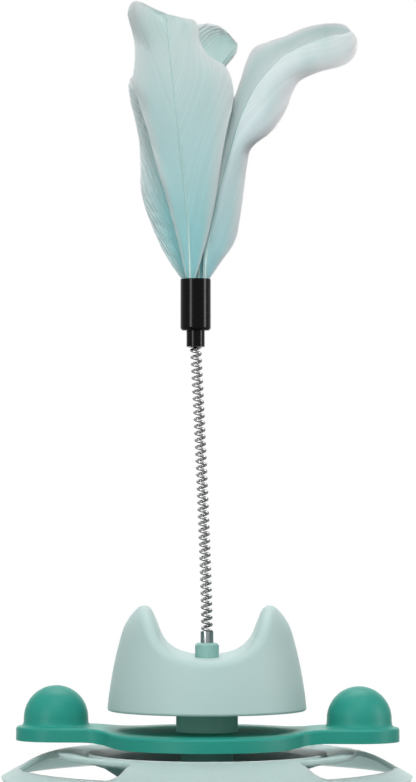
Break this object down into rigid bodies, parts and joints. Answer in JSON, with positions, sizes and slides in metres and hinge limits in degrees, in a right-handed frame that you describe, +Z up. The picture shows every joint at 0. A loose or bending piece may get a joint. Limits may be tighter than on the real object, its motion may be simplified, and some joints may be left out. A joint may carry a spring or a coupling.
{
  "type": "cat ball tower",
  "caption": "Round stacked cat toy: balls run in ring tracks under windowed covers, with a spinning arm, a cat-ear cap and a feather teaser on a spring on top.",
  "frame": {"origin": "centre of the tower's base, on the surface it stands on", "axes": "+Z up along the tower's axis, +X to the right and -Y towards the viewer of the picture"},
  "size_m": [0.251, 0.251, 0.457],
  "materials": {
    "pale_mint_plastic": "satin moulded plastic",
    "mint_plastic": "soft satin plastic",
    "teal_plastic": "satin moulded plastic",
    "ball_plastic": "glossy hollow plastic",
    "white_nylon": "plain nylon",
    "black_rubber": "matt rubber",
    "steel": "bright wire and sheet steel",
    "black_ferrule": "glossy black sleeve",
    "clear_glue": "set hot glue",
    "feather": "dyed goose feather"
  },
  "bodies": {
    "tower": {"lower_tray": "teal_plastic", "rubber_feet": "black_rubber", "lower_cover": "pale_mint_plastic", "middle_tray": "teal_plastic", "middle_cover": "pale_mint_plastic", "top_tray": "teal_plastic", "top_cover": "pale_mint_plastic", "spinner_seat": "pale_mint_plastic", "spindle": "white_nylon", "seat_washer": "steel", "seat_screw": "steel", "thrust_washer": "white_nylon", "cat_ear_cap": "pale_mint_plastic", "cap_screw": "steel", "spring_collar": "mint_plastic", "spring_sleeve": "steel"},
    "spinner": {"spinner_arm": "teal_plastic", "hub_bush": "white_nylon"},
    "lower_ball": {"lower_ball": "ball_plastic"},
    "middle_ball": {"middle_ball": "ball_plastic"},
    "top_ball": {"top_ball": "ball_plastic"},
    "teaser_stem": {"teaser_spring": "steel"},
    "teaser_head": {"ferrule": "black_ferrule", "glue_plug": "clear_glue", "broad_feather": "feather", "curled_feather": "feather", "back_feather": "feather"}
  },
  "joints": [
    {"name": "spinner_spin", "type": "hinge", "parent": "tower", "child": "spinner", "pos_m": [0, 0, 0.143], "axis": [0, 0, 1], "continuous": true},
    {"name": "lower_ball_run", "type": "hinge", "parent": "tower", "child": "lower_ball", "pos_m": [0, 0, 0.024], "axis": [0, 0, 1], "continuous": true},
    {"name": "middle_ball_run", "type": "hinge", "parent": "tower", "child": "middle_ball", "pos_m": [0, 0, 0.071], "axis": [0, 0, 1], "continuous": true},
    {"name": "top_ball_run", "type": "hinge", "parent": "tower", "child": "top_ball", "pos_m": [0, 0, 0.118], "axis": [0, 0, 1], "continuous": true},
    {"name": "teaser_side_sway", "type": "hinge", "parent": "tower", "child": "teaser_stem", "pos_m": [-0.00041, 0, 0.21058], "axis": [0, 1, 0], "range_deg": [-35, 35], "stiffness_Nm_per_rad": 0.06, "deforming": ["teaser_spring"]},
    {"name": "teaser_fore_sway", "type": "hinge", "parent": "teaser_stem", "child": "teaser_head", "pos_m": [-0.00274, 0, 0.27018], "axis": [1, 0, 0], "range_deg": [-35, 35], "stiffness_Nm_per_rad": 0.05, "deforming": ["teaser_spring"]}
  ]
}
